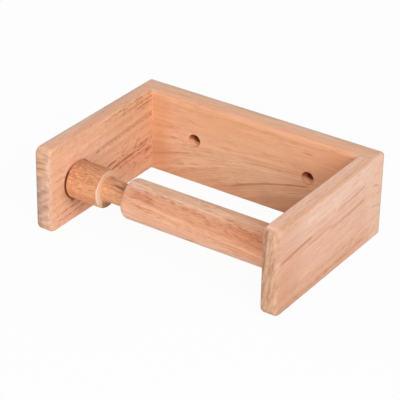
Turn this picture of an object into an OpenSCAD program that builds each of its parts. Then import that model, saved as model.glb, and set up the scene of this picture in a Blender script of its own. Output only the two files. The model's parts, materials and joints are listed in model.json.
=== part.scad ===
// Wooden toilet roll holder: a U-shaped frame for the wall, and a spring-loaded
// roller that is taken out to change the roll. X runs across the arms, +Y runs
// into the wall and +Z is up. The origin lies on the wall face, midway between
// the two wall screws.

/* [Frame] */
// Overall width across the two arms
frame_w = 167; // [145:1:240]
// Depth from the wall face to the front of the arms
frame_d = 115.5; // [95:0.5:160]
// Height of the back board and the arms
frame_h = 55; // [48:1:80]
// Thickness of the back board
board_t = 14; // [12.5:0.5:20]
// Thickness of each arm
arm_t = 11; // [10:0.5:18]
// Radius worked along the long edges
edge_r = 2.4; // [1:0.1:3]
// Radius of the front corners of the arms, seen from the side
arm_corner_r = 5; // [4:0.5:12]

/* [Wall screws] */
// Distance between the two wall screws
screw_spacing = 81; // [50:1:100]
// Height of the wall screws above the middle of the board
screw_rise = 2; // [-6:0.5:6]
// Diameter of the hole for the screw's shank
screw_hole_d = 4.5; // [3.5:0.1:5.5]
// Diameter of the countersink at the face of the board
screw_head_d = 8.5; // [7:0.1:11]
// Depth of the straight mouth in front of the cone
screw_sink = 1.2; // [0.5:0.1:3]

/* [Dowels] */
// Diameter of the fluted dowels between board and arms
dowel_d = 6; // [5:0.5:7]
// Length of each dowel
dowel_l = 28; // [20:1:35]
// How far each dowel reaches into the board
dowel_in_board = 9; // [6:0.5:10]
// Height between the two dowels of one arm
dowel_spacing = 28; // [20:1:34]

/* [Sockets] */
// Distance of the roller's axis behind the front of the arms
socket_setback = 26; // [20:0.5:45]
// Distance of the roller's axis below the middle of the arms
socket_drop = 1; // [-4:0.5:4]
// Diameter of the blind socket in each arm
socket_d = 10; // [8:0.5:12]
// Depth of the blind socket
socket_depth = 7; // [5:0.5:8]

/* [Roller] */
// Diameter of the roller
roller_d = 24.8; // [22:0.2:34]
// Radius of the rounding at both ends of the roller
roller_end_r = 2.8; // [1:0.2:3.8]
// Depth of the bore that takes the plunger and the spring
bore_depth = 69.2; // [60:0.2:80]
// Length of the pivot on each end
pivot_l = 6.4; // [4:0.2:8]

/* [Plunger] */
// Diameter of the plunger's head
head_d = 23.4; // [20:0.2:30]
// Length of the plunger's head
head_l = 22.6; // [15:0.2:30]
// Radius of the rounding on the head's inner edge
head_end_r = 1; // [0.5:0.1:3]
// Diameter of the stem that slides in the roller
stem_d = 14; // [11:0.2:15]
// Whole length of the stem behind the head
stem_l = 45; // [35:1:50]
// Length of stem that shows between the head and the roller
stem_show = 16.4; // [12.6:0.2:20]

/* [Spring] */
// Diameter of the spring wire
wire_d = 1; // [0.6:0.1:1.4]
// Turns of the open middle of the spring
open_turns = 9; // [6:1:11]

/* [Hidden] */

// Radial gap between a dowel and its hole, which the glue fills
glue_gap = 0.05;
// Free depth behind each end of a dowel
dowel_end_gap = 0.8;
// Chamfer on both ends of a dowel
dowel_chamfer = 0.6;
// Radius and count of the flutes that let the glue out
flute_r = 0.4;
flutes = 12;
// Radial gap round a pivot in its socket
pivot_play = 0.3;
// Chamfer on the tip of a pivot
pivot_chamfer = 0.8;
// Gap between a shoulder of the roller and the face of its arm
shoulder_play = 0.3;
// Radial gap between the stem and the bore
stem_play = 0.25;
// Chamfer on the inner end of the stem
stem_chamfer = 1;
// Radius broken on the edge of the head beside the arm
head_edge_r = 0.8;
// Radial gap between the spring and the bore
spring_play = 0.7;
// Gap between each end of the spring and its seat
seat_play = 0.15;
// Gap between neighbouring turns of the closed ends of the spring
closed_gap = 0.5;
// Closed turns at each end of the spring
closed_turns = 1;
// How far a turned stem or pivot is carried on inside the thicker body behind it
root_l = 2;
// How far a cutting shape runs past the face that it cuts
overrun = 1;
// Smoothness of round shapes
$fn = 64;

gap_w = frame_w - 2 * arm_t;
mid_z = -screw_rise;
arm_x = (frame_w - arm_t) / 2;
arm_l = frame_d - board_t;
axis_y = socket_setback - frame_d;
axis_z = mid_z - socket_drop;
pivot_d = socket_d - 2 * pivot_play;
head_x = shoulder_play - gap_w / 2;
head_face_x = head_x + head_l;
roller_x = head_face_x + stem_show;
roller_l = gap_w / 2 - shoulder_play - roller_x;
bore_d = stem_d + 2 * stem_play;
stem_end_x = head_face_x + stem_l;
bore_end_x = roller_x + bore_depth;

wood_light = [0.87, 0.67, 0.53];
wood_warm = [0.84, 0.61, 0.45];
wood_brown = [0.78, 0.56, 0.40];
dowel_wood = [0.90, 0.78, 0.60];
steel = [0.72, 0.73, 0.75];

// A rectangle about its centre with four round corners
module round_rect(w, h, r) {
    square([w - 2 * r, h], center = true);
    square([w, h - 2 * r], center = true);
    for (sx = [-1, 1], sy = [-1, 1])
        translate([sx * (w / 2 - r), sy * (h / 2 - r)])
            circle(r);
}

// A tongue from the Y axis out to +X, with its two far corners rounded
module tongue(l, w, r) {
    intersection() {
        round_rect(2 * l, w, r);
        translate([0, -w / 2])
            square([l, w]);
    }
}

// The sharp waste between two faces and the round edge that joins them
module edge_waste(r) {
    difference() {
        translate([-overrun, -overrun])
            square(r + overrun);
        translate([r, r])
            circle(r);
    }
}

// Half the outline of a turned piece: radius along X, length along Y, both ends rounded
module turned(l, d, near_r, far_r) {
    translate([0, near_r])
        square([d / 2, l - near_r - far_r]);
    square([d / 2 - near_r, l / 2]);
    translate([0, l / 2])
        square([d / 2 - far_r, l / 2]);
    translate([d / 2 - near_r, near_r])
        circle(near_r);
    translate([d / 2 - far_r, l - far_r])
        circle(far_r);
}

// One arm about its own middle: the joint with the board at y = 0, the front at -arm_l
module arm_blank() {
    nose_y = arm_corner_r - arm_l;
    rotate([90, 0, 0])
        linear_extrude(-nose_y)
            round_rect(arm_t, frame_h, edge_r);
    translate([0, nose_y, arm_corner_r - frame_h / 2])
        linear_extrude(frame_h - 2 * arm_corner_r)
            rotate(-90)
                tongue(arm_corner_r, arm_t, edge_r);
    for (side = [0, 1])
        mirror([0, 0, side])
            translate([0, nose_y, frame_h / 2 - arm_corner_r])
                rotate([90, 0, 0])
                    rotate([0, -90, 0])
                        rotate_extrude(angle = 90)
                            tongue(arm_corner_r, arm_t, edge_r);
}

// A blind dowel hole along Y, with its mouth at y = 0
module dowel_hole(depth) {
    rotate([-90, 0, 0])
        translate([0, 0, -overrun])
            cylinder(d = dowel_d + 2 * glue_gap, h = depth + dowel_end_gap + overrun);
}

// Runs its children at the two dowel heights of one joint
module at_dowels(x) {
    for (side = [-1, 1])
        translate([x, -board_t, mid_z + side * dowel_spacing / 2])
            children();
}

// The right arm; the left one is its mirror image
module arm() {
    difference() {
        translate([arm_x, -board_t, mid_z])
            arm_blank();
        translate([gap_w / 2 - overrun, axis_y, axis_z])
            rotate([0, 90, 0])
                cylinder(d = socket_d, h = socket_depth + overrun);
        at_dowels(arm_x)
            mirror([0, 1, 0])
                dowel_hole(dowel_l - dowel_in_board);
    }
}

module left_arm() {
    color(wood_light)
        mirror([1, 0, 0])
            arm();
}

module right_arm() {
    color(wood_light)
        arm();
}

// The stretch of the board between the arms, with its four long edges round
module board_middle() {
    translate([-gap_w / 2, -board_t / 2, 0])
        rotate([90, 0, 90])
            linear_extrude(gap_w)
                round_rect(board_t, frame_h, edge_r);
}

// The countersunk hole of a wall screw, with its mouth at y = 0
module screw_hole() {
    cone_l = (screw_head_d - screw_hole_d) / 2;
    rotate([-90, 0, 0])
        rotate_extrude()
            polygon([
                [0, -overrun],
                [screw_head_d / 2, -overrun],
                [screw_head_d / 2, screw_sink],
                [screw_hole_d / 2, screw_sink + cone_l],
                [screw_hole_d / 2, board_t + overrun],
                [0, board_t + overrun]
            ]);
}

// The waste where the round edges of an arm and of the board meet in a mitre
module mitre_waste() {
    intersection() {
        rotate([90, 0, 90])
            linear_extrude(edge_r)
                edge_waste(edge_r);
        rotate([90, 0, 0])
            translate([0, 0, -edge_r])
                linear_extrude(edge_r)
                    edge_waste(edge_r);
    }
}

// A quarter of a disc, from the origin out to +X and +Y
module quarter_disc(r) {
    intersection() {
        circle(r);
        square(r);
    }
}

// One end of the board, behind an arm: square where the arm meets it, round everywhere else
module board_end() {
    flat_z = frame_h / 2 - edge_r;
    flat_x = arm_t - edge_r;
    translate([gap_w / 2, -edge_r, 0]) {
        rotate([90, 0, 0])
            linear_extrude(board_t - edge_r)
                tongue(arm_t, frame_h, edge_r);
        translate([0, 0, -flat_z])
            linear_extrude(2 * flat_z) {
                square([flat_x, edge_r]);
                translate([flat_x, 0])
                    quarter_disc(edge_r);
            }
        for (side = [0, 1])
            mirror([0, 0, side])
                translate([0, 0, flat_z]) {
                    rotate([90, 0, 90])
                        linear_extrude(flat_x)
                            quarter_disc(edge_r);
                    translate([flat_x, 0, 0])
                        rotate_extrude(angle = 90)
                            quarter_disc(edge_r);
                }
    }
}

module back_board() {
    color(wood_warm)
        difference() {
            translate([0, 0, mid_z]) {
                board_middle();
                board_end();
                mirror([1, 0, 0])
                    board_end();
            }
            for (side = [-1, 1])
                translate([side * screw_spacing / 2, -board_t, 0])
                    screw_hole();
            for (side = [-1, 1])
                at_dowels(side * arm_x)
                    dowel_hole(dowel_in_board);
            for (sx = [0, 1], sz = [0, 1])
                mirror([sx, 0, 0])
                    translate([gap_w / 2, -board_t, mid_z])
                        mirror([0, 0, sz])
                            translate([0, 0, -frame_h / 2])
                                mitre_waste();
        }
}

// A round pin along Z from z = a to z = b, with a chamfer on each end
module pin(d, a, b, chamfer_a, chamfer_b) {
    rotate_extrude()
        polygon([
            [0, a],
            [d / 2 - chamfer_a, a],
            [d / 2, a + chamfer_a],
            [d / 2, b - chamfer_b],
            [d / 2 - chamfer_b, b],
            [0, b]
        ]);
}

// A fluted dowel along Y, from inside the board out into the arm
module dowel(side_x, side_z) {
    color(dowel_wood)
        translate([side_x * arm_x, dowel_in_board - board_t, mid_z + side_z * dowel_spacing / 2])
            rotate([90, 0, 0])
                difference() {
                    pin(dowel_d, 0, dowel_l, dowel_chamfer, dowel_chamfer);
                    for (i = [0 : flutes - 1])
                        rotate(i * 360 / flutes)
                            translate([dowel_d / 2 + flute_r / 2, 0, -overrun])
                                cylinder(r = flute_r, h = dowel_l + 2 * overrun, $fn = 16);
                }
}

// A pivot along Z that stands out from z = 0, one piece with the body behind it
module pivot() {
    pin(pivot_d, -root_l, pivot_l, 0, pivot_chamfer);
}

// The turned barrel: the bore's mouth on the left, a pivot in the right arm
module roller() {
    color(wood_warm)
        translate([roller_x, axis_y, axis_z])
            rotate([0, 90, 0]) {
                difference() {
                    rotate_extrude()
                        turned(roller_l, roller_d, roller_end_r, roller_end_r);
                    translate([0, 0, -overrun])
                        cylinder(d = bore_d, h = bore_depth + overrun);
                }
                translate([0, 0, roller_l])
                    pivot();
            }
}

module plunger() {
    color(wood_brown)
        translate([head_x, axis_y, axis_z])
            rotate([0, 90, 0]) {
                rotate_extrude()
                    turned(head_l, head_d, head_edge_r, head_end_r);
                mirror([0, 0, 1])
                    pivot();
                pin(stem_d, head_l - root_l, head_l + stem_l, 0, stem_chamfer);
            }
}

// The spring's wire as rings of points along a helix with closed ends
rings_per_turn = 8;
wire_sides = 6;
coil_r = bore_d / 2 - spring_play - wire_d / 2;
spring_x = stem_end_x + seat_play + wire_d / 2;
spring_l = bore_end_x - seat_play - wire_d / 2 - spring_x;
all_turns = open_turns + 2 * closed_turns;
closed_pitch = wire_d + closed_gap;
closed_l = closed_turns * closed_pitch;
open_pitch = (spring_l - 2 * closed_l) / open_turns;
last_ring = all_turns * rings_per_turn;

// Travel along the axis after u turns
function travel(u) =
    u < closed_turns ? u * closed_pitch
    : u < closed_turns + open_turns ? closed_l + (u - closed_turns) * open_pitch
    : spring_l - (all_turns - u) * closed_pitch;

// Slope of the wire after u turns
function slope(u) =
    atan((u < closed_turns || u > closed_turns + open_turns ? closed_pitch : open_pitch) / (2 * PI * coil_r));

// The middle of the wire after u turns
function wire_middle(u) = [travel(u), coil_r * cos(360 * u), coil_r * sin(360 * u)];

// One corner of the wire's section: outwards and along, turned by the slope
function wire_corner(u, a) =
    let (out = [0, cos(360 * u), sin(360 * u)],
         round = [0, -sin(360 * u), cos(360 * u)],
         along = [cos(slope(u)), 0, 0] - sin(slope(u)) * round)
    wire_middle(u) + wire_d / 2 * (cos(a) * out + sin(a) * along);

module spring() {
    corners = [
        for (i = [0 : last_ring], k = [0 : wire_sides - 1])
            wire_corner(i / rings_per_turn, k * 360 / wire_sides)
    ];
    sides = [
        for (i = [0 : last_ring - 1], k = [0 : wire_sides - 1])
            let (a = i * wire_sides + k, b = i * wire_sides + (k + 1) % wire_sides)
            each [[a, b, b + wire_sides], [a, b + wire_sides, a + wire_sides]]
    ];
    far = last_ring * wire_sides;
    caps = [
        for (k = [1 : wire_sides - 2])
            each [[0, k + 1, k], [far, far + k, far + k + 1]]
    ];
    gaps = [
        for (i = [0 : last_ring], j = [i + rings_per_turn / 2 : last_ring])
            norm(wire_middle(i / rings_per_turn) - wire_middle(j / rings_per_turn)) - wire_d
    ];
    echo(least_gap_of_spring = min(gaps));
    color(steel)
        translate([spring_x, axis_y, axis_z])
            polyhedron(points = corners, faces = concat(sides, caps));
}

module left_upper_dowel() { dowel(-1, 1); }
module left_lower_dowel() { dowel(-1, -1); }
module right_upper_dowel() { dowel(1, 1); }
module right_lower_dowel() { dowel(1, -1); }

back_board();
left_arm();
right_arm();
left_upper_dowel();
left_lower_dowel();
right_upper_dowel();
right_lower_dowel();
roller();
plunger();
spring();
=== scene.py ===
import json
import math

import bpy
import numpy as np
from mathutils import Matrix, Vector


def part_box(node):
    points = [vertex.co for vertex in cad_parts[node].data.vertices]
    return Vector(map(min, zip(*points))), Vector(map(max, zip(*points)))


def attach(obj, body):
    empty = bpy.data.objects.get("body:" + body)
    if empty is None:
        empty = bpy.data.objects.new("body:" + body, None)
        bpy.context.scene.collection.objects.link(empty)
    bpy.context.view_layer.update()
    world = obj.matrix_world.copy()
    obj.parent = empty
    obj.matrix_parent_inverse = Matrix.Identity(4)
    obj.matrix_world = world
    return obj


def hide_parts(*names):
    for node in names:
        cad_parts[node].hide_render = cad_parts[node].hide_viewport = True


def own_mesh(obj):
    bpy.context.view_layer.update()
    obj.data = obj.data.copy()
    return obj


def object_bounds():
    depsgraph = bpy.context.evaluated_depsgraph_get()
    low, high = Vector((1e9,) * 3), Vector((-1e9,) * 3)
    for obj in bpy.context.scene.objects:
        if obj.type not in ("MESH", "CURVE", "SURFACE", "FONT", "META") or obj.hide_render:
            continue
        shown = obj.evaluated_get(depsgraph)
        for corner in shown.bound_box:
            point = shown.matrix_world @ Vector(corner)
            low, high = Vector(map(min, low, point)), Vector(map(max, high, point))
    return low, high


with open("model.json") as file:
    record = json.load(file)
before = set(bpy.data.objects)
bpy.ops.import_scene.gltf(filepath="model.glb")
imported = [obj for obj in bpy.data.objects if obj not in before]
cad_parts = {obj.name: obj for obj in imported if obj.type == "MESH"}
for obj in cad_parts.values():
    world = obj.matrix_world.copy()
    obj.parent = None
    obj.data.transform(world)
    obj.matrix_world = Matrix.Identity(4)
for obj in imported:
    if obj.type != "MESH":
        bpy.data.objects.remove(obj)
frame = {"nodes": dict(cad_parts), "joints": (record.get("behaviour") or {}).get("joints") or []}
cad_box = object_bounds()
nodes = frame["nodes"]

# The back board is one planed length of a pale, fine-pored hardwood, sanded and oiled, with its
# edges rounded over. Two countersunk holes take the wall screws, and an arm is glued and dowelled
# against its face at each end.
MM = 0.001


class Signal:
    """A socket of a finish's shader. Arithmetic on it adds the Math nodes that work it out."""

    def __init__(self, finish, socket):
        self.finish = finish
        self.socket = socket

    def maths(self, operation, *terms):
        return self.finish.node("ShaderNodeMath", {"operation": operation}, dict(enumerate(terms)))

    def __add__(self, other):
        return self.maths("ADD", self, other)

    def __sub__(self, other):
        return self.maths("SUBTRACT", self, other)

    def __mul__(self, other):
        return self.maths("MULTIPLY", self, other)

    def __truediv__(self, other):
        return self.maths("DIVIDE", self, other)

    def __pow__(self, other):
        return self.maths("POWER", self, other)

    def __radd__(self, other):
        return self.maths("ADD", other, self)

    def __rsub__(self, other):
        return self.maths("SUBTRACT", other, self)

    def __rmul__(self, other):
        return self.maths("MULTIPLY", other, self)

    def __abs__(self):
        return self.maths("ABSOLUTE", self)

    def part(self):
        """What is left of it above its whole number."""
        return self.maths("FRACT", self)

    def whole(self):
        return self.maths("FLOOR", self)

    def most(self, other):
        return self.maths("MAXIMUM", self, other)

    def rise(self, low, high):
        """Smoothly from 0 at low to 1 at high; low may be the larger one."""
        inputs = {"Value": self, "From Min": low, "From Max": high}
        return self.finish.node("ShaderNodeMapRange", {"interpolation_type": "SMOOTHSTEP"}, inputs)

    def within(self, low, high, last, end):
        """Smoothly from 0 at low to 1 at high, and from 1 at last back to 0 at end."""
        return self.rise(low, high) * self.rise(end, last)


class Finish:
    """The nodes of one material, or of the world, and the shader they end in."""

    def __init__(self, owner):
        self.owner = owner
        owner.use_nodes = True
        self.tree = owner.node_tree
        self.tree.nodes.clear()

    def node(self, kind, settings=None, inputs=None, out=0):
        """Adds one node: settings first, then the values or links of its sockets."""
        made = self.tree.nodes.new(kind)
        for name, value in (settings or {}).items():
            setattr(made, name, value)
        for key, value in (inputs or {}).items():
            socket = pick(made.inputs, key)
            if isinstance(value, Signal):
                self.tree.links.new(value.socket, socket)
            else:
                socket.default_value = value
        return Signal(self, pick(made.outputs, out))

    def mix(self, share, a, b):
        """Colour a turned into colour b by a share from 0 to 1."""
        inputs = {"Factor_Float": share, "A_Color": a, "B_Color": b}
        return self.node("ShaderNodeMix", {"data_type": "RGBA"}, inputs, "Result_Color")

    def place_mm(self):
        """The place on the piece, in its own millimetres."""
        at = self.node("ShaderNodeTexCoord", None, None, "Object")
        settings = {"operation": "SCALE"}
        return self.node("ShaderNodeVectorMath", settings, {"Vector": at, "Scale": 1 / MM})

    def noise(self, at, stretch, seed, detail=2.0, roughness=0.5):
        """Smooth noise from 0 to 1 about 0.5, with stretch lumps to the millimetre each way."""
        inputs = {"Vector": at, "Location": (seed, 1.7 * seed, -2.3 * seed), "Scale": stretch}
        spot = self.node("ShaderNodeMapping", None, inputs)
        inputs = {"Vector": spot, "Scale": 1.0, "Detail": detail, "Roughness": roughness}
        return self.node("ShaderNodeTexNoise", None, inputs)

    def end(self, colour, roughness, bump=None, depth=0.1, metallic=0.0, shine=0.5):
        """Closes the material with its shader; bump is a height from 0 to 1, depth high in mm."""
        inputs = {"Base Color": colour, "Roughness": roughness, "Metallic": metallic}
        inputs["Specular IOR Level"] = shine
        if bump is not None:
            relief = {"Height": bump, "Distance": depth * MM, "Strength": 1.0}
            inputs["Normal"] = self.node("ShaderNodeBump", None, relief)
        return self.close(self.node("ShaderNodeBsdfPrincipled", None, inputs))

    def close(self, shader, kind="Material"):
        """Ends the nodes in a shader, and hands over what they belong to."""
        made = self.tree.nodes.new("ShaderNodeOutput" + kind)
        self.tree.links.new(shader.socket, made.inputs["Surface"])
        return self.owner


def pick(sockets, key):
    """A node's socket by its number, its identifier or its name."""
    if isinstance(key, int):
        return sockets[key]
    return next(s for s in sockets if key in (s.identifier, s.name))


def tint(red, green, blue):
    """The shader's linear colour for a colour as a screen shows it, from 0 to 255."""
    shares = np.array([red, green, blue]) / 255
    linear = np.where(shares <= 0.04045, shares / 12.92, ((shares + 0.055) / 1.055) ** 2.4)
    return (*linear.tolist(), 1.0)


class Timber(Finish):
    """Oiled hardwood, cut from a log whose heart runs beside the piece.

    Everything is worked out in millimetres, in the piece's own place. The log's X axis follows
    the fibres, and the yearly rings are cylinders about it:
    ring number = (distance from the heart + slow wander) / ring width.
    Short is how many times shorter than usual the fibres look, and fan holds the level and the
    spread of a log whose fibres fan out.
    """

    def __init__(self, name, heart, turn, ring_w, seed, fan=None, short=1.0):
        super().__init__(bpy.data.materials.new(name))
        self.place = self.place_mm()
        self.x, self.y, self.z = self.split(self.place)
        place = self.place if fan is None else self.fanned(*fan)
        inputs = {"Vector": place, "Location": heart, "Rotation": [math.radians(t) for t in turn]}
        self.log = self.node("ShaderNodeMapping", {"vector_type": "TEXTURE"}, inputs)
        across = self.split(self.log)[1:]
        self.slow = self.noise(self.log, (0.010, 0.045, 0.045), seed)
        self.wander = self.noise(self.log, (0.035, 0.22, 0.22), seed + 3)
        ring = (self.radius(across, (0, 0)) + 6 * (self.slow - 0.5) + 1.6 * (self.wander - 0.5)) / ring_w
        year = self.node("ShaderNodeTexWhiteNoise", {"noise_dimensions": "1D"}, {"W": ring.whole()})
        phase = ring.part()
        self.late = phase.within(0.1, 0.90, 0.94, 1.0) * (0.2 + 0.8 * year)
        self.band = self.noise(self.log, (0.006, 0.10, 0.10), seed + 7, 3.0)
        self.tinge = self.noise(self.log, (0.02, 0.05, 0.05), seed + 9, 1.0)
        self.blot = self.noise(self.log, (0.05 * short, 0.16, 0.16), seed + 25, 3.0, 0.6)
        self.fibre = self.noise(self.log, (0.045 * short, 1.0, 1.0), seed + 11, 4.0, 0.6)
        self.thread = self.noise(self.log, (0.13 * short, 1.7, 1.7), seed + 13, 2.0)
        hair = self.noise(self.log, (0.014 * short, 0.55, 0.55), seed + 19, 2.0, 0.6)
        self.hair = abs(hair - 0.5).rise(0.045, 0.0)
        self.dash = self.noise(self.log, (0.15 * short, 1.9, 1.9), seed + 17, 1.0)
        cluster = self.noise(self.log, (0.03, 0.25, 0.25), seed + 15, 2.0)
        self.pore = self.dash.rise(0.58, 0.74) * cluster.rise(0.42, 0.66)
        fleck = self.noise(self.log, (0.09 * short, 1.1, 1.1), seed + 23, 2.0)
        self.fleck = fleck.rise(0.52, 0.68) * cluster.rise(0.35, 0.6)

    def split(self, vector):
        return [self.node("ShaderNodeSeparateXYZ", None, {"Vector": vector}, i) for i in range(3)]

    def radius(self, across, middle):
        """Distance from an axis seen end on, at a middle of two coordinates."""
        first, second = across[0] - middle[0], across[1] - middle[1]
        return (first * first + second * second) ** 0.5

    def fanned(self, level, spread):
        """The place with its height below a level spread out along X, by e to the spread * x."""
        depth = (level - self.z).most(0)
        power = spread * self.x
        grown = depth * (power.maths("EXPONENT", power) - 1)
        return self.node("ShaderNodeCombineXYZ", None, {"X": self.x, "Y": self.y, "Z": self.z - grown})

    def line(self, along, across, mark):
        """A grain line: its height is the parabola through three heights, evenly from start to end.

        A mark holds the start, the end, the three heights, half the line's width, its strength
        and how much of it is broken up into dashes.
        """
        start, end, (first, middle, last), width, share, broken = mark
        t = (along - start) / (end - start)
        bend = 2 * (first + last - 2 * middle)
        height = first + t * ((last - first - bend) + bend * t)
        wobble = 0.9 * (self.wander - 0.5) + 0.5 * (self.fibre - 0.5)
        away = abs(across - height + wobble)
        fade = 3 / abs(end - start)
        window = t.within(-fade, fade, 1 - fade, 1 + fade)
        strength = share * (1 - broken * self.dash.rise(0.60, 0.46))
        return away.rise(width, 0.15 * width) * window * strength

    def lines(self, along, across, marks):
        """The strongest of several grain lines at each point."""
        total = self.line(along, across, marks[0])
        for mark in marks[1:]:
            total = total.most(self.line(along, across, mark))
        return total

    def wash(self, colour, share, *rgb):
        """A colour washed over with another one by a share from 0 to 1."""
        return self.mix(share, colour, tint(*rgb))

    def graded(self, along, stops):
        """Colours that follow each other along a coordinate, each reached at its own place."""
        last, rgb = stops[0]
        colour = tint(*rgb)
        for place, rgb in stops[1:]:
            colour = self.wash(colour, along.rise(last, place), *rgb)
            last = place
        return colour

    def ground(self, tones, blot=0.5):
        """The wood's pale, warm and rosy stretches, before its grain."""
        pale, warm, rosy = tones[:3]
        base = self.mix(self.band.rise(0.30, 0.70), pale, warm)
        base = self.mix(0.6 * self.tinge.rise(0.45, 0.70), base, rosy)
        base = self.mix(blot * self.blot.rise(0.52, 0.68), base, rosy)
        return self.mix(blot * self.blot.rise(0.48, 0.32), base, warm)

    def grain(self, base, tones, ring=0.30, fibre=0.35, hair=0.30, pore=0.35, thread=0.25):
        """The brown of late wood, threads, fibres and pores over the wood's ground."""
        pale, brown, dark = tones[0], tones[3], tones[4]
        base = self.mix(ring * self.late, base, brown)
        base = self.mix(fibre * self.fibre.rise(0.45, 0.75), base, brown)
        base = self.mix(hair * self.hair, base, brown)
        base = self.mix(thread * self.thread.rise(0.5, 0.25), base, pale)
        base = self.mix(0.6 * pore * self.fleck, base, brown)
        return self.mix(pore * self.pore, base, dark)

    def mottled(self, base, stretch, seed, share, high, low):
        """The base with soft patches of two more colours, where a noise is high and where it is low."""
        patch = self.noise(self.log, stretch, seed, 2.0)
        base = self.mix(share * patch.rise(0.52, 0.66), base, high)
        return self.mix(share * patch.rise(0.48, 0.34), base, low)

    def oiled(self, colour):
        """The finish in this colour: a low sheen, fibres that stand up a little and open pores."""
        relief = 0.4 * self.fibre + 0.2 * self.thread + 0.4 * (1 - self.pore)
        return self.end(colour, 0.5, relief, depth=0.05, shine=0.25)


def dress(node, material):
    """Gives a CAD node its finish in place of its plain one."""
    nodes[node].data.materials.clear()
    nodes[node].data.materials.append(material)


def shades(*colours):
    return [tint(*colour) for colour in colours]


def box_mm(node):
    """The lowest and the highest corner of a CAD node's box, in millimetres."""
    return [np.array(corner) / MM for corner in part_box(node)]


board_low, board_high = box_mm("back_board")
side_x = board_high[0]
face_y = board_low[1]
top_z = board_high[2]
arm_face_x = 72.5
screw_hole_x = 40.5
screw_mouth_r = 4.25
wood = Timber("board_wood", heart=(0, 25, -60), turn=(0, 0, 0), ring_w=6.5, seed=5, fan=(5, 0.0136))
tones = shades((244, 196, 158), (238, 182, 140), (242, 190, 160), (204, 136, 94), (158, 98, 64))
base = wood.ground(tones, 0.3)
near_face = wood.y.rise(face_y + 3, face_y + 1)
# Painted shade: the board's front face turns darker and more orange towards each arm.
base = wood.wash(base, 0.40 * near_face * wood.x.rise(15, 60), 228, 156, 106)
base = wood.wash(base, 0.45 * near_face * wood.x.rise(-56, -66), 228, 162, 112)
above = wood.z.rise(2, 10) * (1 - 0.5 * wood.z.rise(15, 19)) * wood.x.rise(42, 24)
base = wood.wash(base, 0.33 * near_face * above, 214, 160, 118)
below = wood.z.within(-25, -18, -5, 2) * wood.x.rise(-66, -50) * (1 - 0.6 * wood.x.rise(16, 40))
base = wood.wash(base, 0.75 * near_face * below, 255, 212, 176)
low_right = wood.z.rise(-15, -20) * wood.x.rise(-2, 14)
base = wood.wash(base, 0.30 * near_face * low_right, 176, 104, 62)
# Across the top, with painted shade greying its rounded back edge.
across_top = wood.graded(wood.y, (
    (-1.0, (196, 178, 166)),
    (-2.6, (220, 192, 174)),
    (-4.5, (236, 192, 165)),
    (-8.0, (244, 188, 154)),
    (-11.5, (247, 184, 147)),
    (-13.5, (236, 176, 140)),
))
on_top = wood.z.rise(top_z - 3, top_z - 1)
base = wood.mix(0.85 * on_top, base, across_top)
beside_arm = abs(wood.x + 3 * (wood.wander - 0.5)).rise(64, 76)
base = wood.wash(base, 0.7 * beside_arm * on_top, 236, 192, 166)
base = wood.mottled(base, (0.16, 0.3, 0.3), 41, 0.3, tint(236, 170, 142), tint(238, 184, 140))
colour = wood.grain(base, tones)
marks = (
    (-75, -44, (-18.5, -14.0, -9.5), 1.0, 0.55, 0.2),
    (-72, -44, (-4.0, -2.4, -1.5), 0.8, 0.25, 0.3),
    (-4, 37, (-3.0, -1.2, 0.3), 0.9, 0.45, 0.3),
    (-13, 41, (-22.5, -12.4, -6.0), 1.1, 0.95, 0.2),
    (-46, -41, (12.6, 12.4, 12.2), 1.0, 0.50, 0.0),
    (37, 43, (16.0, 16.0, 15.9), 0.9, 0.80, 0.0),
    (9, 15, (6.4, 6.5, 6.6), 0.8, 0.45, 0.0),
    (-9.4, -7.4, (-18.8, -18.9, -19.0), 0.8, 0.80, 0.0),
)
colour = wood.mix(near_face * wood.lines(wood.x, wood.z, marks), colour, tones[3])
end_grain = abs(wood.x).rise(side_x - 3.0, side_x - 0.5)
end_base = wood.graded(wood.z, ((0, (229, 191, 168)), (20, (234, 196, 172))))
patch = wood.noise(wood.place, (1.0, 0.16, 0.24), 45, 2.0)
end_base = wood.wash(end_base, 0.5 * patch.rise(0.5, 0.66), 228, 164, 138)
end_base = wood.wash(end_base, 0.4 * patch.rise(0.46, 0.32), 214, 178, 144)
colour = wood.mix((0.55 + 0.25 * wood.x.rise(-1, 1)) * end_grain, colour, end_base)
strokes = (
    (-13, -5, (8.2, 7.0, 5.2), 1.0, 0.7, 0.3),
    (-9, -4, (1.2, 1.0, 0.6), 0.9, 0.6, 0.2),
    (-12, -3, (-6.0, -6.8, -8.0), 1.2, 0.5, 0.4),
    (-12, -4, (15.5, 15.0, 14.0), 0.9, 0.4, 0.3),
    (-14, -4, (-15.0, -14.4, -13.4), 1.6, 0.4, 0.4),
    (-14, -6, (-24.0, -22.6, -21.0), 2.2, 0.4, 0.4),
)
colour = wood.wash(colour, end_grain * wood.lines(wood.y, wood.z, strokes), 206, 142, 106)
# Painted shade: the rounded back edge at each end of the board greyed and darkened.
back_corner = wood.y.within(-3.2, -1.2, -0.9, -0.1) * wood.x.rise(side_x - 2.5, side_x - 0.9)
colour = wood.wash(colour, 0.8 * back_corner, 168, 144, 130)
glue = abs(wood.x).rise(arm_face_x - 0.8, arm_face_x - 0.1) * wood.y.rise(face_y + 0.5, face_y)
colour = wood.wash(colour, 0.5 * glue * wood.dash.rise(0.35, 0.5), 244, 206, 176)
from_hole = wood.radius((abs(wood.x), wood.z), (screw_hole_x, 0))
in_mouth = from_hole.rise(screw_mouth_r + 0.1, screw_mouth_r - 0.1)
in_hole = in_mouth * wood.y.within(face_y - 0.1, face_y + 0.3, -0.4, -0.1)
hole_x = wood.x - screw_hole_x * (2 * wood.x.rise(-1, 1) - 1)
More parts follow.
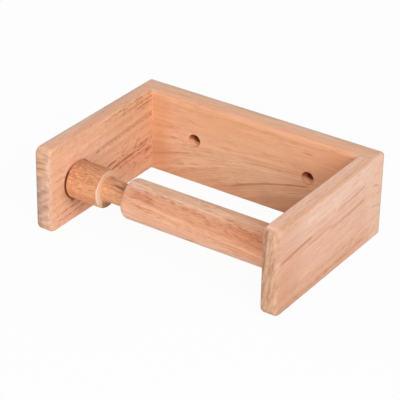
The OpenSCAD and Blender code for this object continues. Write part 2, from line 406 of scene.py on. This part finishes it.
# Inside the screw holes the rough end grain is darker, and painted shade darkens it further towards the
# top and deeper in.
inwards = wood.z + 0.15 * hole_x + 0.5 * (wood.y - face_y - 1.2)
hole_grain_and_shade = wood.graded(inwards, (
    (-3.0, (240, 180, 140)),
    (-1.4, (226, 160, 116)),
    (0.2, (172, 106, 64)),
    (1.8, (140, 64, 22)),
))
colour = wood.mix(in_hole, colour, hole_grain_and_shade)
dress("back_board", wood.oiled(colour))

# The arms are cut from the same boards as the back, a little paler, with their grain running
# from the wall to the front. Each has a blind socket for one of the roller's pivots, and its
# edges are rounded over and hand sanded.
front_y = box_mm("left_arm")[0][1]
pivot_axis = Vector(frame["joints"][0]["pos_m"]) / MM
arm_tones = shades((236, 195, 168), (229, 177, 144), (234, 180, 156), (200, 136, 100), (156, 98, 66))
arm_marks = (
    (-72, -13, (6.3, 8.6, 10.6), 2.4, 0.40, 0.4),
    (-72, -13, (5.6, 7.6, 9.0), 1.0, 0.70, 0.8),
    (-60.5, -51, (-8.6, -7.9, -7.4), 0.9, 1.00, 0.0),
    (-50, -20, (-7.2, -6.6, -6.0), 0.9, 0.90, 0.8),
    (-56, -49, (-12.2, -11.5, -11.0), 1.1, 1.00, 0.1),
    (-50, -43, (-11.2, -10.8, -10.4), 0.8, 0.90, 0.2),
    (-46, -33, (-10.8, -10.3, -9.9), 1.3, 1.00, 0.1),
    (-35, -20, (-10.2, -9.9, -9.2), 0.9, 0.90, 0.6),
    (-28, -17, (-7.8, -7.0, -6.0), 1.2, 0.80, 0.4),
    (-50, -18, (-14.5, -13.0, -11.5), 1.6, 0.60, 0.8),
    (-21, -17, (-13.6, -13.5, -13.4), 1.9, 1.00, 0.0),
    (-110, -98, (3.0, 3.1, 3.2), 0.9, 0.30, 0.0),
    (-62, -14, (23.2, 23.9, 24.4), 0.8, 0.70, 0.8),
    (-46, -14, (20.6, 21.2, 21.8), 1.2, 0.70, 0.8),
    (-30, -16, (18.4, 18.8, 19.2), 0.9, 0.80, 0.4),
    (-112, -84, (-20.5, -19.5, -19.0), 1.2, 0.70, 0.8),
    (-108, -80, (-24.0, -23.2, -22.5), 1.2, 0.70, 0.8),
)
wood = Timber("left_arm_wood", heart=(-47, 0, -85), turn=(0, -4.4, 90), ring_w=6.0, seed=21, short=2.2)
base = wood.ground(shades((240, 198, 163), (236, 188, 148), (240, 188, 158)), 0.7)
near_board = wood.y.rise(-60, -16)
base = wood.wash(base, 0.26 * near_board * wood.z.rise(-16, -2), 220, 150, 102)
base = wood.wash(base, 0.35 * near_board * wood.z.rise(-8, -18), 242, 184, 158)
middle = wood.y.within(-106, -98, -64, -54) * wood.z.within(2, 6, 14, 19)
base = wood.wash(base, 0.65 * middle, 255, 208, 180)
behind = wood.y.within(-70, -60, -28, -18) * wood.z.within(-20, -14, -2, 6)
base = wood.wash(base, 0.35 * behind, 250, 196, 164)
low_front = wood.y.rise(-98, -106) * wood.z.within(-20, -12, -4, 4)
base = wood.wash(base, 0.20 * low_front, 204, 136, 96)
ruddy = wood.y.rise(-54, -42) * wood.z.within(-24, -18, -14, -9)
base = wood.wash(base, 0.30 * ruddy, 228, 140, 106)
base = wood.wash(base, 0.30 * wood.y.rise(-60, -78), 246, 192, 162)
base = wood.wash(base, 0.50 * wood.y.rise(-84, -98) * wood.z.rise(-14, -20), 240, 194, 170)
base = wood.mottled(base, (0.14, 0.36, 0.36), 71, 0.55, tint(240, 188, 134), tint(240, 172, 150))
# Across the top, with painted shade greying its rounded outer edge.
across_top = wood.graded(wood.x, (
    (-83.2, (172, 154, 142)),
    (-81.6, (214, 184, 166)),
    (-80.0, (234, 190, 164)),
    (-77.0, (246, 184, 150)),
    (-73.5, (244, 178, 142)),
))
base = wood.mix(0.85 * wood.z.rise(top_z - 1.4, top_z - 0.3), base, across_top)
colour = wood.grain(base, arm_tones, fibre=0.25, hair=0.15, pore=0.5, thread=0.4)
flake = wood.noise(wood.log, (0.20, 0.75, 0.75), 73, 2.0).rise(0.55, 0.68)
inner = wood.x.rise(-arm_face_x - 1.5, -arm_face_x - 0.2)
streaked = wood.z.within(-27, -15, -12, 4).most(wood.z.rise(12, 20))
rough = 0.18 + 0.5 * wood.y.rise(-70, -30) * streaked
colour = wood.wash(colour, rough * flake * (0.2 + 0.8 * inner), 182, 110, 74)
colour = wood.wash(colour, wood.lines(wood.y, wood.z, arm_marks) * inner, 164, 94, 56)
end_marks = (
    (-83, -75.5, (16.0, 16.3, 16.8), 1.1, 0.8, 0.3),
    (-83, -76.5, (12.2, 12.4, 13.0), 1.0, 0.7, 0.3),
    (-83, -78.0, (9.6, 9.8, 10.4), 0.7, 0.4, 0.3),
    (-83, -77.0, (6.4, 6.8, 7.6), 0.9, 0.5, 0.3),
    (-83, -74.0, (-6.5, -3.5, 0.0), 3.0, 0.7, 0.4),
    (-83, -74.0, (-11.5, -9.5, -6.0), 1.4, 0.5, 0.4),
    (-83, -74.0, (-17.5, -14.5, -10.5), 3.4, 0.7, 0.4),
    (-83, -75.0, (-24.0, -21.0, -18.0), 2.4, 0.5, 0.4),
)
# The front end's end grain, with painted shade darkening it towards the rounded outer edge.
end_base = wood.graded(wood.x, (
    (-83.0, (156, 136, 122)),
    (-81.0, (174, 150, 132)),
    (-80.0, (192, 156, 133)),
    (-78.0, (214, 172, 147)),
))
end_base = wood.wash(end_base, 0.6 * wood.z.rise(4, 8) * wood.x.rise(-75, -77), 214, 162, 118)
speck = wood.noise(wood.place, (0.12, 1.0, 0.45), 31, 3.0)
end_base = wood.wash(end_base, 0.55 * speck.rise(0.5, 0.66), 168, 122, 92)
end_base = wood.wash(end_base, 0.45 * speck.rise(0.46, 0.34), 240, 190, 172)
end_base = wood.wash(end_base, 0.85 * wood.lines(wood.x, wood.z, end_marks), 140, 94, 68)
end_grain = wood.y.rise(front_y + 2.6, front_y + 0.6)
colour = wood.mix(0.9 * end_grain, colour, end_base)
reach = wood.radius((wood.y, wood.z), (pivot_axis.y, pivot_axis.z))
# Painted shade: a dark ring on the inner face round the head, where it meets the arm, fading out towards
# the top.
painted_contact_shade = reach.within(9.0, 10.0, 12.2, 13.0) * wood.z.rise(10, 4)
colour = wood.wash(colour, painted_contact_shade * inner, 128, 64, 28)
# Painted shadow: the head's soft shadow on the inner face, below it.
painted_head_shadow = wood.radius((wood.y, wood.z), (pivot_axis.y - 1.5, pivot_axis.z - 4)).rise(16, 10)
colour = wood.wash(colour, 0.3 * painted_head_shadow * inner, 150, 88, 56)
# Painted shadow: a dark spot on the inner face just under the head's lower front edge.
blot = wood.radius((wood.y, wood.z), (pivot_axis.y - 4.5, pivot_axis.z - 11.2)).rise(3.4, 0.8)
colour = wood.wash(colour, 0.85 * blot * inner, 136, 72, 38)
dress("left_arm", wood.oiled(colour))

# The right arm is the left one's mirror image, cut where the yearly rings are narrow. Its outer
# face is in view, with a paler band below the top, and its front end shows slanting fibres.
arm_marks = (
    (-112, -80, (4.1, 5.5, 6.3), 1.5, 0.85, 0.1),
    (-52, -22, (10.2, 11.4, 12.6), 1.1, 0.65, 0.3),
    (-82, -58, (2.4, 3.3, 4.0), 1.2, 0.60, 0.4),
    (-60, -22, (2.0, 2.6, 4.0), 1.6, 0.60, 0.3),
    (-90, -30, (-20.0, -19.0, -17.0), 1.8, 0.45, 0.8),
    (-100, -20, (-25.5, -24.5, -23.0), 2.0, 0.60, 0.7),
)
wood = Timber("right_arm_wood", heart=(22, 0, 12), turn=(0, -3.3, 90), ring_w=2.6, seed=43, short=1.4)
base = wood.ground(arm_tones, 0.4)
outer = wood.x.rise(side_x - 2.5, side_x - 0.5)
base = wood.wash(base, 0.3 * outer * wood.z.rise(24.8, 23.4), 232, 193, 173)
base = wood.wash(base, 0.5 * outer * wood.z.within(4, 13, 23.4, 24.8), 240, 210, 192)
foot = wood.z.rise(-9, -24) * (1 - 0.6 * wood.y.rise(-40, -14))
base = wood.wash(base, 0.42 * foot, 212, 160, 124)
base = wood.wash(base, 0.55 * wood.y.rise(-80, -108), 212, 158, 126)
base = wood.wash(base, 0.22 * wood.y.rise(-84, -104) * wood.z.rise(4, -6), 192, 132, 88)
base = wood.wash(base, 0.6 * wood.z.rise(-22.5, -27) * (1 - 0.7 * wood.y.rise(-80, -40)), 182, 146, 124)
base = wood.mottled(base, (0.12, 0.32, 0.32), 75, 0.4, tint(222, 178, 140), tint(236, 178, 162))
across_top = wood.graded(wood.x, (
    (72.9, (226, 178, 150)),
    (74.4, (255, 209, 182)),
    (80.0, (249, 197, 167)),
    (83.0, (220, 170, 140)),
))
base = wood.mix(0.85 * wood.z.rise(top_z - 1.4, top_z - 0.3), base, across_top)
colour = wood.grain(base, arm_tones, fibre=0.3, hair=0.25, pore=0.4, thread=0.35)
colour = wood.wash(colour, wood.lines(wood.y, wood.z, arm_marks) * outer, 190, 124, 92)
by_board = wood.y.rise(-24, -15) * outer * (0.4 + 0.6 * wood.dash.rise(0.62, 0.5))
colour = wood.wash(colour, 0.6 * by_board * wood.z.rise(-22, -10), 233, 193, 168)
end_marks = (
    (-2, 12, (74.2, 74.9, 75.4), 1.1, 1.0, 0.1),
    (14, 25, (74.4, 75.6, 75.2), 1.8, 1.0, 0.1),
    (8, 22, (77.2, 78.0, 77.8), 0.8, 0.5, 0.3),
    (-22, 4, (71.5, 76.0, 78.5), 1.0, 0.6, 0.3),
    (-26, 10, (74.0, 79.0, 80.5), 0.9, 0.5, 0.3),
    (-28, -4, (76.0, 80.0, 82.5), 0.9, 0.5, 0.3),
    (-12, 12, (75.0, 78.0, 79.2), 0.8, 0.4, 0.3),
)
# The front end's end grain, with painted shade darkening it towards both rounded edges.
end_base = wood.graded(wood.x, (
    (75.0, (192, 151, 121)),
    (77.0, (202, 161, 133)),
    (79.0, (204, 159, 127)),
    (80.5, (208, 167, 136)),
    (82.5, (198, 152, 124)),
))
slanted = wood.node("ShaderNodeMapping", {"vector_type": "TEXTURE"}, {
    "Vector": wood.place, "Rotation": (0, math.radians(17), 0),
})
speck = wood.noise(slanted, (0.7, 0.6, 0.14), 31, 4.0, 0.65)
end_base = wood.wash(end_base, 0.7 * speck.rise(0.5, 0.64), 158, 106, 76)
end_base = wood.wash(end_base, 0.5 * speck.rise(0.46, 0.34), 226, 188, 164)
end_base = wood.wash(end_base, 0.85 * wood.lines(wood.z, wood.x, end_marks), 140, 92, 64)
end_grain = wood.y.rise(front_y + 2.6, front_y + 0.6)
colour = wood.mix(0.9 * end_grain, colour, end_base)
dress("right_arm", wood.oiled(colour))

# Four fluted beech dowels, two for each arm, hold the arms to the board's face. They sit in glue
# inside the joints, and their fibres run along their length.
tones = shades((232, 200, 158), (222, 186, 142), (230, 192, 154), (196, 154, 108), (166, 120, 80))
wood = Timber("dowel_wood", heart=(20, 0, 30), turn=(0, 0, 90), ring_w=2.2, seed=97)
dowel_finish = wood.oiled(wood.grain(wood.ground(tones), tones))
for side in ("left", "right"):
    for level in ("upper", "lower"):
        dress(f"{side}_{level}_dowel", dowel_finish)

# The roller is a turned barrel of the same hardwood. Its right end is turned down to a pivot
# for the arm's socket, and its left end is bored for the plunger's stem and the spring.
def eased(corners, radii, steps=7, margin=0.2):
    """An outline with its inner corners rounded, as (x, radius) points from end to end.

    The arc at a corner touches both sides at radius / tan(half the corner's angle) from it, and
    goes from one touching point to the other by equal angles about its centre. Each straight run
    has a point at margin from each of its ends, so that smooth shading stays off the flats.
    """
    points = np.array(corners, float)
    radius = np.array(radii, float)[:, None]
    corner = points[1:-1]
    to_last = points[:-2] - corner
    to_next = points[2:] - corner
    to_last /= np.linalg.norm(to_last, axis=1, keepdims=True)
    to_next /= np.linalg.norm(to_next, axis=1, keepdims=True)
    half = np.arccos(np.clip((to_last * to_next).sum(1, keepdims=True), -1, 1)) / 2
    middle = to_last + to_next
    middle /= np.linalg.norm(middle, axis=1, keepdims=True)
    centre = corner + middle * radius / np.sin(half)
    first = corner + to_last * radius / np.tan(half) - centre
    last = corner + to_next * radius / np.tan(half) - centre
    swing = np.pi - 2 * half[:, None]
    t = np.linspace(0, 1, steps)[None, :, None]
    arcs = first[:, None] * np.sin((1 - t) * swing) + last[:, None] * np.sin(t * swing)
    arcs = centre[:, None] + arcs / np.sin(swing)
    run_start = np.vstack([points[:1], arcs[:, -1]])
    run = np.vstack([arcs[:, 0], points[-1:]]) - run_start
    share = np.minimum(margin / np.linalg.norm(run, axis=1), 1 / 3)[:, None]
    supports = np.stack([run_start + share * run, run_start + (1 - share) * run], 1)
    rounded = np.concatenate([supports[:-1], arcs], 1).reshape(-1, 2)
    return np.vstack([points[:1], rounded, supports[-1], points[-1:]])


def solid(name, points, faces, body, slot, stands_for, material):
    """A smooth closed piece from points in millimetres, riding on a body in place of a CAD node."""
    mesh = bpy.data.meshes.new(name)
    mesh.from_pydata((points * MM).tolist(), [], faces)
    mesh.shade_smooth()
    mesh.materials.append(material)
    piece = bpy.data.objects.new(name, mesh)
    bpy.context.scene.collection.objects.link(piece)
    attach(piece, body)
    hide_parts(stands_for)
    return piece


def bands(rings, around):
    """The four corners of each face between neighbouring rings of points, closed on itself."""
    i, k = np.meshgrid(np.arange(rings - 1), np.arange(around), indexing="ij")
    near = i * around + k
    side = i * around + (k + 1) % around
    return np.stack([near, near + around, side + around, side], -1).reshape(-1, 4)


def fan(pole, ring, flip):
    """The triangles between a pole and the ring of points beside it."""
    beside = np.roll(ring, -1)
    pair = (beside, ring) if flip else (ring, beside)
    return np.stack([np.full_like(ring, pole), *pair], 1)


def turned(outline, around=128):
    """An outline of (x, radius) turned about the roller's axis.

    Point = (x, axis y - radius cos a, axis z + radius sin a), for equal steps of the angle a. The
    outline starts and ends on the axis, and each of these ends is one point.
    """
    angle = np.linspace(0, 2 * np.pi, around, endpoint=False)
    x, radius = outline[1:-1, :1], outline[1:-1, 1:]
    y = pivot_axis.y - radius * np.cos(angle)
    z = pivot_axis.z + radius * np.sin(angle)
    rings = np.stack([np.broadcast_to(x, y.shape), y, z], -1).reshape(-1, 3)
    poles = [[outline[i, 0], pivot_axis.y, pivot_axis.z] for i in (0, -1)]
    count = len(outline) - 2
    ring = np.arange(around)
    faces = bands(count, around).tolist()
    faces += fan(len(rings), ring, False).tolist()
    faces += fan(len(rings) + 1, ring + (count - 1) * around, True).tolist()
    return np.vstack([rings, poles]), faces


roller_low, roller_high = box_mm("roller")
roller_r = (roller_high[2] - roller_low[2]) / 2
roller_left = roller_low[0]
pivot_tip = roller_high[0]
pivot_l = 6.4
pivot_r = 4.7
bore_r = 7.25
bore_end = 36.0
bore_floor_r = 0.4
bore_mouth_r = 0.3
barrel_end_r = 2.8
shoulder_r = 0.3
pivot_end_r = 0.8
outline = eased(
    [
        (bore_end, 0),
        (bore_end, bore_r),
        (roller_left, bore_r),
        (roller_left, roller_r),
        (pivot_tip - pivot_l, roller_r),
        (pivot_tip - pivot_l, pivot_r),
        (pivot_tip, pivot_r),
        (pivot_tip, 0),
    ],
    [bore_floor_r, bore_mouth_r, barrel_end_r, barrel_end_r, shoulder_r, pivot_end_r],
)
wood = Timber("roller_wood", heart=(0, -60, 40), turn=(0, 3.4, 0), ring_w=5.0, seed=61, short=1.5)
tones = shades((232, 180, 146), (224, 162, 124), (228, 168, 138), (186, 110, 72), (140, 78, 48))
base = wood.ground(tones)
height = wood.z - pivot_axis.z
# Painted light: the barrel paler along its underside, as if lit from the floor, and along its top.
base = wood.wash(base, 0.70 * height.within(-12, -9, -10, -1), 238, 208, 192)
base = wood.wash(base, 0.70 * height.rise(8.5, 12), 255, 216, 184)
base = wood.wash(base, 0.34 * wood.x.within(28, 54, 66, 71) * height.rise(-6, 7), 204, 116, 62)
by_stem = wood.x.rise(-16, -28)
base = wood.wash(base, 0.35 * by_stem * height.rise(4, -1), 255, 218, 198)
base = wood.wash(base, 0.40 * by_stem * height.rise(9, 11.5), 255, 220, 198)
base = wood.wash(base, 0.25 * wood.x.rise(48, 34) * height.rise(3, 0), 246, 200, 174)
colour = wood.grain(base, tones, fibre=0.45, hair=0.3, pore=0.75, thread=0.6)
front = wood.y.rise(pivot_axis.y + 3, pivot_axis.y - 1)
marks = (
    (-36, 74, (7.0, 5.5, 3.5), 5.5, 0.26, 0.2),
    (-30, -12, (7.4, 6.6, 6.2), 1.2, 0.90, 0.4),
    (-27, -9, (6.1, 5.4, 4.8), 0.9, 0.95, 0.6),
    (-24, -3, (4.7, 4.1, 3.5), 0.8, 0.85, 0.6),
    (40, 71, (6.8, 5.4, 3.8), 2.0, 0.60, 0.6),
    (50, 71, (2.6, 1.8, 1.2), 1.4, 0.50, 0.5),
    (-12, 4, (8.2, 7.9, 7.6), 1.0, 0.75, 0.6),
    (6, 26, (7.3, 6.9, 6.5), 0.9, 0.80, 0.7),
    (-2, 18, (5.7, 5.2, 4.6), 0.8, 0.70, 0.7),
    (22, 60, (4.6, 3.6, 2.6), 1.0, 0.75, 0.8),
    (-20, 40, (1.4, 0.0, -1.6), 0.9, 0.60, 0.8),
    (36, 70, (7.6, 6.8, 6.0), 1.4, 0.70, 0.7),
)
colour = wood.mix(wood.lines(wood.x, wood.z, marks) * front, colour, tones[3])
light = ((-24, 66, (2.6, -0.2, -3.2), 1.3, 0.4, 0.4),)
colour = wood.mix(wood.lines(wood.x, wood.z, light) * front, colour, tint(244, 196, 162))
solid("turned_roller", *turned(outline), "roller", "roller_wood", "roller", wood.oiled(colour))

# The plunger is turned from one browner piece: a pivot, a head as thick as the roller, and a
# stem that slides in the roller's bore. The sprung stem lets the roller shorten, so that the
# pivots come out of their sockets. Its head's end face is paler end grain, with painted light and shade.
plunger_low, plunger_high = box_mm("plunger")
head_r = (plunger_high[2] - plunger_low[2]) / 2
head_l = 22.6
stem_r = 7.0
head_left = plunger_low[0] + pivot_l
head_end = head_left + head_l
head_back_r = 0.8
head_end_r = 1.0
stem_end_r = 1.0
outline = eased(
    [
        (plunger_low[0], 0),
        (plunger_low[0], pivot_r),
        (head_left, pivot_r),
        (head_left, head_r),
        (head_end, head_r),
        (head_end, stem_r),
        (plunger_high[0], stem_r),
        (plunger_high[0], 0),
    ],
    [pivot_end_r, shoulder_r, head_back_r, head_end_r, shoulder_r, stem_end_r],
)
wood = Timber("plunger_wood", heart=(0, -60, 40), turn=(0, 2.0, 0), ring_w=4.0, seed=83, short=1.8)
tones = shades((230, 169, 125), (222, 156, 112), (227, 160, 121), (172, 106, 68), (120, 72, 44))
base = wood.ground(tones)
height = wood.z - pivot_axis.z
base = wood.wash(base, 0.70 * height.rise(9, 11.3), 232, 178, 138)
base = wood.wash(base, 0.60 * wood.x.rise(head_end, head_end + 1) * height.rise(4, 0), 232, 182, 144)
base = wood.wash(base, 0.64 * height.rise(2, 8), 200, 130, 88)
base = wood.wash(base, 0.50 * wood.x.rise(head_end - 0.6, head_end - 0.1), 236, 172, 126)
base = wood.mottled(base, (0.25, 0.45, 0.45), 9, 0.5, tint(226, 148, 114), tint(220, 158, 108))
colour = wood.grain(base, tones, fibre=0.25, hair=0.15, pore=0.5, thread=0.45)
fleck = 0.35 + 0.18 * height.rise(3, 7)
colour = wood.mottled(colour, (0.36, 1.3, 1.3), 5, fleck, tones[3], tint(240, 184, 146))
groove = abs(wood.x - head_left - 4 + 0.6 * (wood.slow - 0.5)).rise(0.7, 0.1)
colour = wood.mix(0.3 * groove, colour, tones[3])
# Painted shade: the head's rounded edge beside the arm darkened, fading out towards the top.
by_arm = wood.x.rise(head_left + 0.8, head_left + 0.2)
colour = wood.wash(colour, 0.6 * by_arm * height.rise(11, 6), 120, 60, 26)
marks = (
    (-46, -36, (2.0, 1.8, 1.6), 0.7, 0.5, 0.3),
    (-43, -34, (3.3, 3.1, 2.8), 0.6, 0.9, 0.1),
    (-38, -33, (3.4, 3.0, 2.4), 1.4, 0.8, 0.1),
    (-48, -34, (-2.0, -2.6, -3.2), 0.8, 0.3, 0.6),
)
front = wood.y.rise(pivot_axis.y + 2, pivot_axis.y)
colour = wood.mix(wood.lines(wood.x, wood.z, marks) * front, colour, tones[4])
from_axis = wood.radius((wood.y, wood.z), (pivot_axis.y, pivot_axis.z))
end_face = wood.x.rise(head_end - 0.9, head_end - 0.3) * from_axis.rise(stem_r + 0.1, stem_r + 0.4)
# The end face round the stem: paler end grain with painted light and shade, palest just below the middle
# and darker at the top and the bottom.
end_grain_light_and_shade = wood.graded(wood.z, (
    (-12, (218, 184, 150)),
    (-6, (230, 202, 180)),
    (2, (230, 192, 162)),
    (6, (224, 180, 148)),
))
# Painted shadow: the stem's shadow on the lower, back part of the end face.
behind = wood.y.rise(pivot_axis.y - 6.7, pivot_axis.y - 5.3)
end_grain_light_and_shade = wood.wash(end_grain_light_and_shade, 0.8 * behind * height.rise(-3, -6), 150, 98, 60)
end_grain_light_and_shade = wood.wash(end_grain_light_and_shade, 0.6 * from_axis.rise(stem_r + 1.7, stem_r + 0.9), 224, 162, 116)
# Painted shade: a dark ring round the stem's root, above it.
end_grain_light_and_shade = wood.wash(end_grain_light_and_shade, 0.6 * from_axis.rise(stem_r + 1.4, stem_r + 0.4) * height.rise(3, 6), 170, 110, 74)
colour = wood.mix(0.9 * end_face, colour, end_grain_light_and_shade)
solid("turned_plunger", *turned(outline), "plunger", "plunger_wood", "plunger", wood.oiled(colour))

# A compression spring of drawn steel wire sits in the bore behind the stem. Both ends have one
# closed turn.
spring_low, spring_high = box_mm("spring")
wire_r = 0.5
coil_r = 6.05
closed_pitch = 1.5
open_turns = 9
spring_start = spring_low[0] + wire_r
spring_end = spring_high[0] - wire_r


def coil(per_turn=32, sides=12):
    """A round wire along a helix that goes slowly along the axis in its first and last turn.

    The wire's middle is (travel(u), coil radius * (cos, sin) of u turns), where travel is a
    straight-line function of u through the ends of the closed turns. A point of the section is
    wire radius * (cos b outwards + sin b along the axis) from there.
    """
    turns = open_turns + 2
    u = np.linspace(0, turns, turns * per_turn + 1)[:, None]
    length = spring_end - spring_start
    stops = [0, closed_pitch, length - closed_pitch, length]
    travel = np.interp(u, [0, 1, 1 + open_turns, turns], stops)
    angle = 2 * np.pi * u
    side = np.linspace(0, 2 * np.pi, sides, endpoint=False)
    radius = coil_r + wire_r * np.cos(side)
    x = spring_start + travel + wire_r * np.sin(side)
    y = pivot_axis.y + radius * np.cos(angle)
    z = pivot_axis.z + radius * np.sin(angle)
    points = np.stack([x, y, z], -1)
    ends = [points[i].mean(0) for i in (0, -1)]
    count = len(u)
    ring = np.arange(sides)
    faces = bands(count, sides).tolist()
    faces += fan(count * sides, ring, False).tolist()
    faces += fan(count * sides + 1, ring + (count - 1) * sides, True).tolist()
    return np.vstack([points.reshape(-1, 3), ends]), faces


steel = Finish(bpy.data.materials.new("spring_steel"))
drawn = steel.noise(steel.place_mm(), (0.9, 2.5, 2.5), seed=7, detail=3.0)
grey = steel.mix(drawn, tint(176, 178, 184), tint(206, 208, 212))
finish = steel.end(grey, 0.22 + 0.2 * drawn, drawn, depth=0.01, metallic=1.0)
spring = solid("coil_spring", *coil(), "roller", "spring_steel", "spring", finish)
press = next(j for j in frame["joints"] if j["name"] == "plunger_press")
spring_l = spring_high[0] - spring_low[0]
pressed = press["range_m"][1] / MM
1 - pressed / spring_l
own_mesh(spring)

# A plain white studio: paper under the holder, soft square lamps in front of it, at its right
# and behind it, and pale walls all round. Seen straight, paper and walls are white, but the
# holder's shadow stays.
low, high = cad_box
floor_side = 3.0
floor_glow = 0.95
wall_light = 0.38
corners = np.array([[-1, -1, 0], [1, -1, 0], [1, 1, 0], [-1, 1, 0]]) * floor_side / 2
floor_mesh = bpy.data.meshes.new("floor")
floor_mesh.from_pydata((corners + [0, 0, low.z]).tolist(), [], [(0, 1, 2, 3)])
floor = bpy.data.objects.new("floor", floor_mesh)
bpy.context.scene.collection.objects.link(floor)
paper = Finish(bpy.data.materials.new("white_paper"))
seen = paper.node("ShaderNodeLightPath", None, None, "Is Camera Ray")
lit = paper.node("ShaderNodeBsdfDiffuse", None, {"Color": (0.86, 0.86, 0.86, 1)})
glow = paper.node("ShaderNodeEmission", None, {"Color": (1, 1, 1, 1), "Strength": 1.0})
sheet = paper.node("ShaderNodeMixShader", None, {0: floor_glow * seen, 1: lit, 2: glow})
under = paper.node("ShaderNodeNewGeometry", None, None, "Backfacing")
clear = paper.node("ShaderNodeBsdfTransparent")
paper.close(paper.node("ShaderNodeMixShader", None, {0: under, 1: sheet, 2: clear}))
floor_mesh.materials.append(paper.owner)

world = bpy.data.worlds.new("studio")
bpy.context.scene.world = world
walls = Finish(world)
kinds = ("Is Camera Ray", "Is Glossy Ray", "Is Transmission Ray")
rays = [walls.node("ShaderNodeLightPath", None, None, kind) for kind in kinds]
direct = rays[0].most(rays[1]).most(rays[2])
strength = wall_light + (1 - wall_light) * direct
shine = {"Color": (1, 1, 1, 1), "Strength": strength}
walls.close(walls.node("ShaderNodeBackground", None, shine), "World")


def softbox(name, bearing, elevation, power, distance=1.6, size=1.1):
    """A square lamp that faces the object: bearing 0 is in front of it, 90 on its right."""
    data = bpy.data.lights.new(name, "AREA")
    data.shape = "SQUARE"
    data.size = size
    data.energy = power
    lamp = bpy.data.objects.new(name, data)
    bpy.context.scene.collection.objects.link(lamp)
    a, e = math.radians(bearing), math.radians(elevation)
    out = Vector((math.sin(a) * math.cos(e), -math.cos(a) * math.cos(e), math.sin(e)))
    lamp.location = (low + high) / 2 + distance * out
    lamp.rotation_mode = "QUATERNION"
    lamp.rotation_quaternion = out.to_track_quat("Z", "Y")


softbox("front_lamp", bearing=15, elevation=8, power=15.7)
softbox("right_lamp", bearing=65, elevation=30, power=14)
softbox("back_lamp", bearing=-120, elevation=40, power=4)

# The camera stands to the holder's right and above it, at the photograph's angle. Its focal
# length is given for a square picture of 400 pixels across.
camera_bearing = math.radians(33.85)
camera_elevation = math.radians(29.36)
camera_roll = math.radians(1.07)
camera_distance = 1.0723
camera_aim = Vector((-5.35, -59.12, -9.27)) * MM
picture_px = 400
focal_px = 1827.9
sensor_mm = 36.0

back = Vector((
    math.sin(camera_bearing) * math.cos(camera_elevation),
    -math.cos(camera_bearing) * math.cos(camera_elevation),
    math.sin(camera_elevation),
))
level = Vector((math.cos(camera_bearing), math.sin(camera_bearing), 0))
up = back.cross(level)
right = level * math.cos(camera_roll) + up * math.sin(camera_roll)
top = up * math.cos(camera_roll) - level * math.sin(camera_roll)
lens = bpy.data.cameras.new("camera")
lens.sensor_width = sensor_mm
lens.lens = focal_px / picture_px * sensor_mm
camera = bpy.data.objects.new("camera", lens)
bpy.context.scene.collection.objects.link(camera)
turn = Matrix((right, top, back)).transposed().to_4x4()
camera.matrix_world = Matrix.Translation(camera_aim + camera_distance * back) @ turn
bpy.context.scene.camera = camera
bpy.context.scene.view_settings.view_transform = "Standard"
